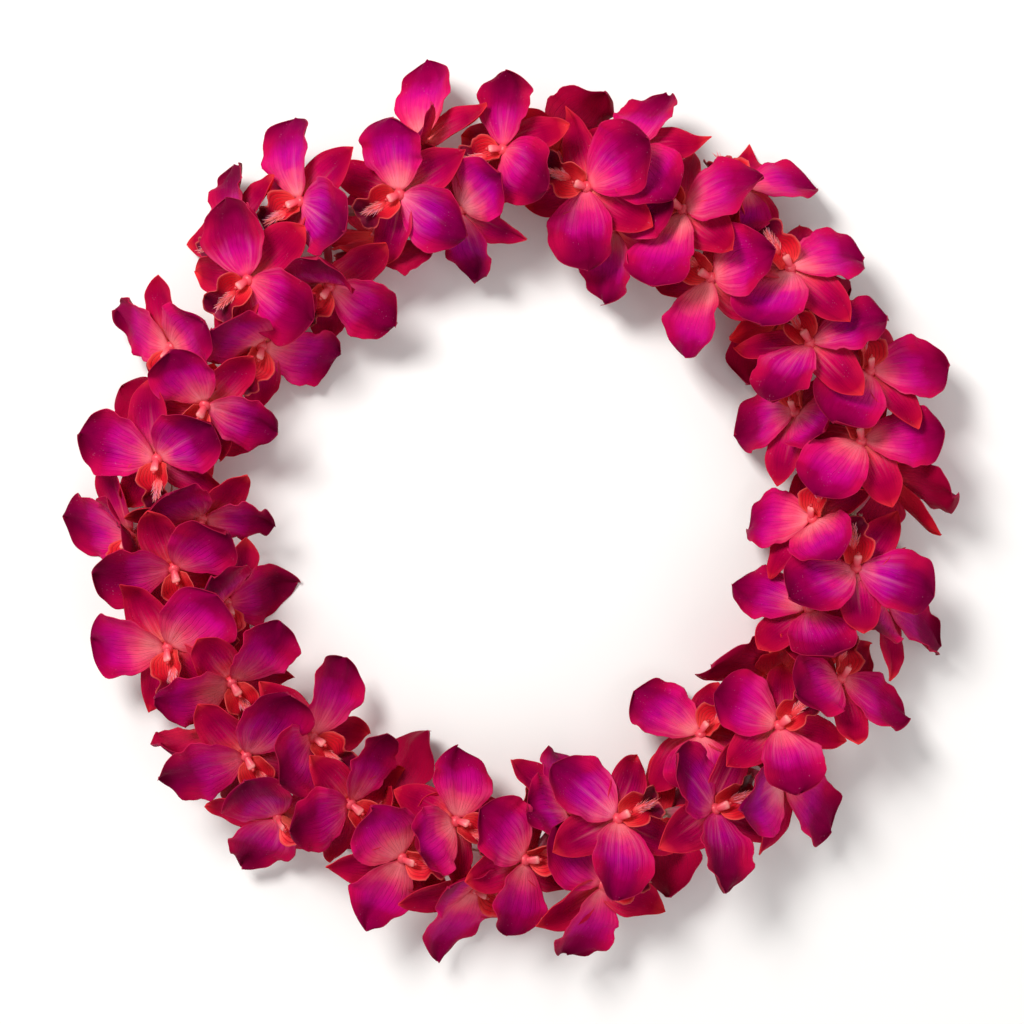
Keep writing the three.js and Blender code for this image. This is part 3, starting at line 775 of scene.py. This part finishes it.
def tepal_paint(name, depth_of, plain, violet, dull, margin, rim, rib, margin_share, rim_share):
    """Colours of a tepal from base to tip, plain or more violet, with veins, a margin and its back."""
    p = Paint(
        name, 0.5, Sheen_Weight=0.06, Sheen_Roughness=0.4, Sheen_Tint=colour("ff1050"),
        Specular_IOR_Level=0.03, Specular_Tint=colour("ff4878"),
    )
    along, across, edge = p.read("along"), p.read("across"), p.read("edge")
    back, tone, mood = p.read("back"), p.read("tone"), p.read("mood")
    wide = p.times(across, across)
    cloud = p.add(p.noise(9, 3.0), -0.5)
    depth = depth_of(p, along, wide, cloud, tone)
    bluer = p.step(p.add(mood, p.times(cloud, 0.8)), 0.42, 1.0)
    face = p.mix(bluer, p.ramp(depth, plain), p.ramp(depth, violet))

    # Veins, the margin towards the sides, and a pale streak down the middle of the more violet ones.
    lines = p.add(veins(p, along, across, 7, 1.1), p.times(veins(p, along, across, 17, 1.5), 0.5))
    face = p.mix(p.times(lines, 0.14), face, "6b0433")
    aside = p.maths("ABSOLUTE", across)
    side = p.step(p.add(aside, p.times(cloud, 0.7)), 0.35, 1.0, 0.0, margin_share)
    face = p.mix(p.times(side, p.step(along, 1.0, 0.6)), face, margin)
    streak = p.times(p.step(aside, 0.0, 0.1, 1, 0), p.step(along, 0.75, 0.1), p.step(mood, 0.4, 0.9))
    face = p.mix(p.times(streak, 0.4), face, rib)

    # Streaky grain along the blade, made paler by painted glow towards the base and darker by painted shade
    # towards the tip, and small pale flecks.
    grain = p.vector(p.times(across, 0.0075), p.times(along, 0.0016), p.times(tone, 0.05))
    # painted glow: pale pink streaks near the base, for light shining through the thin blade
    painted_glow = p.times(p.step(p.noise(1.0, 2.0, 0.5, grain), 0.42, 0.78), p.step(along, 0.62, 0.12))
    face = p.mix(p.times(painted_glow, 0.23), face, "ff94ac")
    # painted shade: dark streaks from the middle of the blade to its tip
    painted_shade = p.times(p.step(p.noise(1.7, 2.0, 0.5, grain), 0.5, 0.8), p.step(along, 0.2, 0.6))
    face = p.mix(p.times(painted_shade, 0.26), face, "5c0028")
    fleck = p.times(p.step(p.noise(0.6, 0.0), 0.74, 0.82), p.step(p.noise(6, 0.0), 0.52, 0.68))
    face = p.mix(p.times(fleck, 0.18), face, "f08ab8")

    # The back, the rim and the velvety surface.
    under = p.ramp(depth, dull)
    under = p.mix(p.times(lines, 0.3), under, "8e1440")
    face = p.mix(p.times(back, 0.85), face, under)
    border = p.step(p.add(edge, p.times(cloud, 0.4)), 0.02, 0.42, rim_share, 0.0)
    face = p.mix(border, face, rim)
    velvet = p.noise(0.35, 1.0)
    bump = p.add(p.times(lines, -0.5), p.times(velvet, 0.28), p.times(p.noise(2.5, 2.0), 0.5))
    return p.finish(face, bump, 0.24, p.step(velvet, 0.2, 0.8, 0.42, 0.62))


def petal_depth(p, along, wide, cloud, tone):
    shift = p.times(p.add(tone, -0.5), 0.36)
    return p.add(p.times(along, 0.86), p.times(wide, 0.1), p.times(cloud, 0.3), shift)


def sepal_depth(p, along, wide, cloud, tone):
    shift = p.times(p.add(tone, -0.5), 0.12)
    return p.add(p.times(along, 0.95), p.times(wide, 0.03), p.times(cloud, 0.16), shift)


petal_paint = tepal_paint(
    "petal", petal_depth,
    [
        (0.0, "ff7a86"), (0.14, "f84c74"), (0.28, "de1a78"), (0.44, "c2067a"), (0.6, "960048"),
        (0.85, "66002a"), (1, "6c062c"),
    ],
    [
        (0.0, "ff90a0"), (0.14, "f0508c"), (0.28, "cc108c"), (0.44, "b0048c"), (0.6, "8a0050"),
        (0.85, "62002e"), (1, "680832"),
    ],
    [(0.0, "f04c4a"), (0.25, "cc1e3c"), (0.6, "9c042e"), (0.95, "780224")],
    "d81046", "d42c58", "ff8ab0", margin_share=0.6, rim_share=0.4,
)
sepal_paint = tepal_paint(
    "sepal", sepal_depth,
    [
        (0.0, "ff7c74"), (0.16, "f03c54"), (0.36, "c80850"), (0.62, "9e003a"),
        (0.84, "a80630"), (0.98, "e03038"),
    ],
    [
        (0.0, "ff8a94"), (0.16, "e63874"), (0.36, "bc0462"), (0.62, "900042"),
        (0.84, "9c0638"), (0.98, "ce2438"),
    ],
    [(0.0, "f0423a"), (0.3, "d41c2c"), (0.65, "b00424"), (0.98, "e02428")],
    "d41840", "dc3448", "ff8a90", margin_share=0.6, rim_share=0.42,
)


def make_lip_paint():
    p = Paint("lip", 0.42, Specular_IOR_Level=0.3, Specular_Tint=colour("ffb0b0"))
    along, across, edge, back, tone = (p.read(x) for x in ("along", "across", "edge", "back", "tone"))
    cloud = p.add(p.noise(4, 3.0), -0.5)
    depth = p.add(along, p.times(cloud, 0.2), p.times(p.add(tone, -0.5), 0.12))
    face = p.ramp(
        depth,
        [
            (0.0, "f8484a"), (0.26, "e01c30"), (0.45, "bc0828"), (0.62, "86062e"),
            (0.84, "60042c"), (0.97, "8c0a3c"),
        ],
    )
    under = p.ramp(depth, [(0.0, "f0705c"), (0.4, "d8433f"), (0.65, "a81c44"), (0.95, "8c1440")])
    lines = veins(p, along, across, 8, 0.8)
    face = p.mix(p.times(lines, 0.35), face, "4a0420")
    face = p.mix(back, face, under)
    face = p.mix(p.step(edge, 0.1, 0.6, 0.6, 0.0), face, "ea5a58")
    bump = p.add(p.times(lines, -0.6), p.times(p.noise(0.5, 2.0), 0.4))
    return p.finish(face, bump, 0.25, p.step(cloud, -0.3, 0.3, 0.36, 0.5))


def make_plume_paint():
    p = Paint("plume", 0.5, Sheen_Weight=0.2, Specular_IOR_Level=0.35)
    along, tone = p.read("along"), p.read("tone")
    warm = p.ramp(along, [(0.0, "e03038"), (0.35, "f04e58"), (0.8, "ff7c7c"), (1.0, "ffa8a0")])
    pale = p.ramp(along, [(0.0, "dc3450"), (0.35, "ee6484"), (0.8, "fa9cb8"), (1.0, "fcd0dc")])
    face = p.mix(p.step(tone, 0.5, 1.0), warm, pale)
    return p.finish(face, p.noise(0.4, 1.0), 0.08)


def make_column_paint():
    p = Paint("column", 0.38, Specular_IOR_Level=0.45)
    along = p.add(p.read("along"), p.times(p.add(p.noise(1.5, 2.0), -0.5), 0.2))
    face = p.ramp(
        along, [(0.0, "d82840"), (0.35, "e6485c"), (0.7, "ea6270"), (0.88, "f48e8c"), (1.0, "ee7078")],
    )
    face = p.mix(p.step(p.read("back"), 0.15, 0.6), face, "c80c1c")
    return p.finish(face, p.noise(0.6, 2.0), 0.12)


def make_anther_paint():
    p = Paint("anther", 0.34, Specular_IOR_Level=0.5)
    face = p.ramp(p.noise(0.8, 2.0), [(0.3, "b80c1c"), (0.7, "e0404a")])
    return p.finish(face, p.noise(0.5, 1.0), 0.1)


def make_stalk_paint():
    p = Paint("stalk", 0.45, Sheen_Weight=0.1, Specular_IOR_Level=0.4)
    along, across = p.read("along"), p.read("across")
    cloud = p.add(p.noise(3, 3.0), -0.5)
    face = p.ramp(
        p.add(along, p.times(cloud, 0.25)),
        [(0.0, "cf4a60"), (0.3, "b93a5a"), (0.62, "a2485c"), (0.82, "98705c"), (1.0, "a09a6a")],
    )
    ribs = p.maths("ABSOLUTE", p.maths("SINE", p.times(across, 6 * math.pi)))
    face = p.mix(p.step(ribs, 0.0, 0.35, 0.3, 0.0), face, "7d1f3c")
    return p.finish(face, p.add(ribs, p.times(p.noise(0.6, 2.0), 0.3)), 0.2)


bloom_paints = [
    petal_paint, sepal_paint, make_lip_paint(), make_plume_paint(), make_column_paint(), make_anther_paint(),
    make_stalk_paint(),
]

for index in range(BLOOMS):
    add_bloom(index, f"bloom_{index + 1:02d}", bloom_paints)


# ---- The string: three twisted strands, knotted halfway between two blooms ----
STRANDS = 3
TWIST = 5.5  # from one turn of the strands to the next
STRING_SIDES = 12
STRING_STEP = 1.1  # along the string, from one ring of points to the next
STRAND_DEPTH = 0.13  # of the grooves between the strands
TIED_RADIUS = 0.55  # of the string where it is pulled tight in the knot, and in the tails
KNOT_DEPTH = 1.15
KNOT_STEPS = 60
FRAY = {"fibres": 14, "bare": 1.2, "length": 1.6, "radii": (0.07, 0.06, 0.05, 0.03), "sides": 3}


def twisted(points, radius, closed=False):
    """A cord along a line of points, its section turning with the twist."""
    points = np.asarray(points, float)
    count = len(points)
    if closed:
        ahead = unit(np.roll(points, -1, axis=0) - np.roll(points, 1, axis=0))
    else:
        ahead = unit(np.gradient(points, axis=0))
    gone = np.concatenate([[0], np.cumsum(np.linalg.norm(np.diff(points, axis=0), axis=1))])
    whole = gone[-1] + (np.linalg.norm(points[0] - points[-1]) if closed else 0)
    turns = round(whole / TWIST) if closed else whole / TWIST
    side = unit(np.cross(ahead, np.array([0.0, 0.0, 1.0])))
    other = np.cross(ahead, side)
    spin = 2 * math.pi * turns * gone / whole
    rings, angles = [], np.arange(STRING_SIDES) * 2 * math.pi / STRING_SIDES
    for p, s, o, turn in zip(points, side, other, spin):
        r = radius - STRAND_DEPTH * (0.5 - 0.5 * np.cos(STRANDS * (angles - turn)))
        rings.append(p + (r * np.cos(angles))[:, None] * s + (r * np.sin(angles))[:, None] * o)
    faces = []
    for i in range(count if closed else count - 1):
        for k in range(STRING_SIDES):
            a, b = i * STRING_SIDES + k, i * STRING_SIDES + (k + 1) % STRING_SIDES
            c, d = ((x + STRING_SIDES) % (count * STRING_SIDES) for x in (b, a))
            faces.append((a, b, c, d))
    if not closed:
        faces.append(tuple(range(STRING_SIDES))[::-1])
        faces.append(tuple((count - 1) * STRING_SIDES + k for k in range(STRING_SIDES)))
    along = np.repeat(gone, STRING_SIDES)
    # how deep each point lies in a groove between the strands, which the cotton paint darkens as painted
    # shade
    hollow = np.concatenate([0.5 - 0.5 * np.cos(STRANDS * (angles - turn)) for turn in spin])
    return np.concatenate(rings), faces, along, hollow


def make_string_paint():
    p = Paint("cotton", 0.85, Sheen_Weight=0.3, Sheen_Roughness=0.5, Specular_IOR_Level=0.2)
    hollow = p.read("edge")
    fibre = p.noise(0.25, 3.0, 0.7)
    stain = p.step(p.noise(14, 2.0), 0.5, 0.75, 0.0, 0.35)
    # painted shade: darker in the grooves between the strands
    face = p.mix(p.times(hollow, 0.55), "e0d2c0", "a8967c")
    face = p.mix(p.times(fibre, 0.25), face, "cfc4ae")
    face = p.mix(stain, face, "d98a98")
    return p.finish(face, fibre, 0.1)


SEAM = -math.pi / BLOOMS  # how far round the ring the knot is
KNOT_AT = np.array([RING_RADIUS * math.cos(SEAM), RING_RADIUS * math.sin(SEAM), STRING_HEIGHT])
SEAM_AXES = np.array([
    [math.cos(SEAM), math.sin(SEAM), 0.0],
    [-math.sin(SEAM), math.cos(SEAM), 0.0],
    [0.0, 0.0, 1.0],
])


def string_loop():
    steps = round(LEI_LENGTH / STRING_STEP)
    turns = np.arange(steps) * 2 * math.pi / steps
    loop = [RING_RADIUS * np.cos(turns), RING_RADIUS * np.sin(turns), np.full(steps, STRING_HEIGHT)]
    return twisted(np.stack(loop, axis=1), STRING_RADIUS, closed=True)


def string_knot():
    """A trefoil, as large as the part's knot."""
    turns = np.linspace(0, 2 * math.pi, KNOT_STEPS + 1)[:-1]
    trefoil = [
        np.sin(turns) + 2 * np.sin(2 * turns),
        KNOT_DEPTH * np.sin(3 * turns),
        np.cos(turns) - 2 * np.cos(2 * turns),
    ]
    size = (KNOT_RADIUS - TIED_RADIUS) / 3
    trefoil = size * np.stack(trefoil, axis=1)
    return twisted(KNOT_AT + trefoil @ SEAM_AXES, TIED_RADIUS, closed=True)


def add_tail(shape, side):
    """A cut end of the string, its fibres frayed. The part turns it from +Y, about X and then about Z."""
    tilt, swing = rad(TAIL["splay"]), side * rad(TAIL["splay"] / 2)
    way = np.array([-math.sin(swing) * math.cos(tilt), math.cos(swing) * math.cos(tilt), math.sin(tilt)])
    gone = np.linspace(0, TAIL["length"] - FRAY["bare"], 9)[:, None]
    points, faces, along, hollow = twisted(KNOT_AT + (gone * way) @ SEAM_AXES, TIED_RADIUS)
    shape.add(points, faces, 0, along=along, edge=hollow)
    draw = stream(TONES + FRAY_TONES + side)
    for _ in range(FRAY["fibres"]):
        start = KNOT_AT + ((TAIL["length"] - FRAY["length"]) * way) @ SEAM_AXES
        start = start + 0.3 * np.array([draw(), draw(), draw()])
        off = unit(way @ SEAM_AXES + 0.45 * np.array([draw(), draw(), draw()]))
        s = np.linspace(0, FRAY["length"] + 0.4 * draw(), len(FRAY["radii"]))[:, None]
        points, faces = tube(start + s * off, FRAY["radii"], FRAY["sides"])
        # the frayed fibres get a little of the painted shade of the grooves
        shape.add(points, faces, 0, along=0.0, edge=0.2)


def add_string():
    shape = Shape()
    for points, faces, along, hollow in (string_loop(), string_knot()):
        shape.add(points, faces, 0, along=along, edge=hollow)
    for side in (-1, 1):
        add_tail(shape, side)
    obj = bpy.data.objects.new("cotton_string", shape.mesh("cotton_string", [make_string_paint()]))
    bpy.context.scene.collection.objects.link(obj)
    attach(obj, "root")
    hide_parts("string")


add_string()


# ---- The floor, the light and the camera ----
FLOOR = 3.0  # metres from its middle to each side


def make_floor():
    corners = [(-FLOOR, -FLOOR, 0), (FLOOR, -FLOOR, 0), (FLOOR, FLOOR, 0), (-FLOOR, FLOOR, 0)]
    mesh = bpy.data.meshes.new("floor")
    mesh.from_pydata(corners, [], [(0, 1, 2, 3)])
    material = bpy.data.materials.new("floor")
    material.use_nodes = True
    shader = material.node_tree.nodes["Principled BSDF"]
    shader.inputs["Base Color"].default_value = (0.93, 0.925, 0.92, 1)
    shader.inputs["Roughness"].default_value = 0.9
    mesh.materials.append(material)
    floor = bpy.data.objects.new("floor", mesh)
    bpy.context.scene.collection.objects.link(floor)


def add_light(name, at, size, power, tint):
    light = bpy.data.lights.new(name, "AREA")
    light.shape, light.size, light.energy, light.color = "SQUARE", size, power, tint
    obj = bpy.data.objects.new(name, light)
    obj.location = at
    obj.rotation_euler = (-Vector(at)).to_track_quat("-Z", "Y").to_euler()
    bpy.context.scene.collection.objects.link(obj)


def make_world(strength):
    world = bpy.data.worlds.new("studio")
    world.use_nodes = True
    background = world.node_tree.nodes["Background"]
    background.inputs["Color"].default_value = (1.0, 0.985, 0.97, 1)
    background.inputs["Strength"].default_value = strength
    bpy.context.scene.world = world


PICTURE = 1024  # pixels across
RING_SEEN_AT = (513, 510)  # where the ring's centre is in the picture
STRING_PIXELS = 342  # the string's radius in the picture
LENS, SENSOR = 85, 36


def make_camera():
    """Straight above, at the height from which the ring has its size in the picture."""
    scale = RING_RADIUS / STRING_PIXELS
    height = scale * PICTURE / 2 / (SENSOR / 2 / LENS)
    camera = bpy.data.cameras.new("camera")
    camera.lens, camera.sensor_width = LENS, SENSOR
    obj = bpy.data.objects.new("camera", camera)
    x = RING_CENTRE[0] - (RING_SEEN_AT[0] - PICTURE / 2) * scale
    y = RING_CENTRE[1] + (RING_SEEN_AT[1] - PICTURE / 2) * scale
    obj.location = (x * MM, y * MM, (STRING_HEIGHT + height) * MM)
    bpy.context.scene.collection.objects.link(obj)
    bpy.context.scene.camera = obj


make_floor()
make_world(0.5)
add_light("key", (-0.6, 0.7, 1.3), 0.5, 22, (1.0, 0.98, 0.95))
add_light("fill", (0.9, -0.7, 1.1), 1.2, 4, (1.0, 0.97, 0.98))
make_camera()
bpy.context.scene.view_settings.view_transform = "Standard"
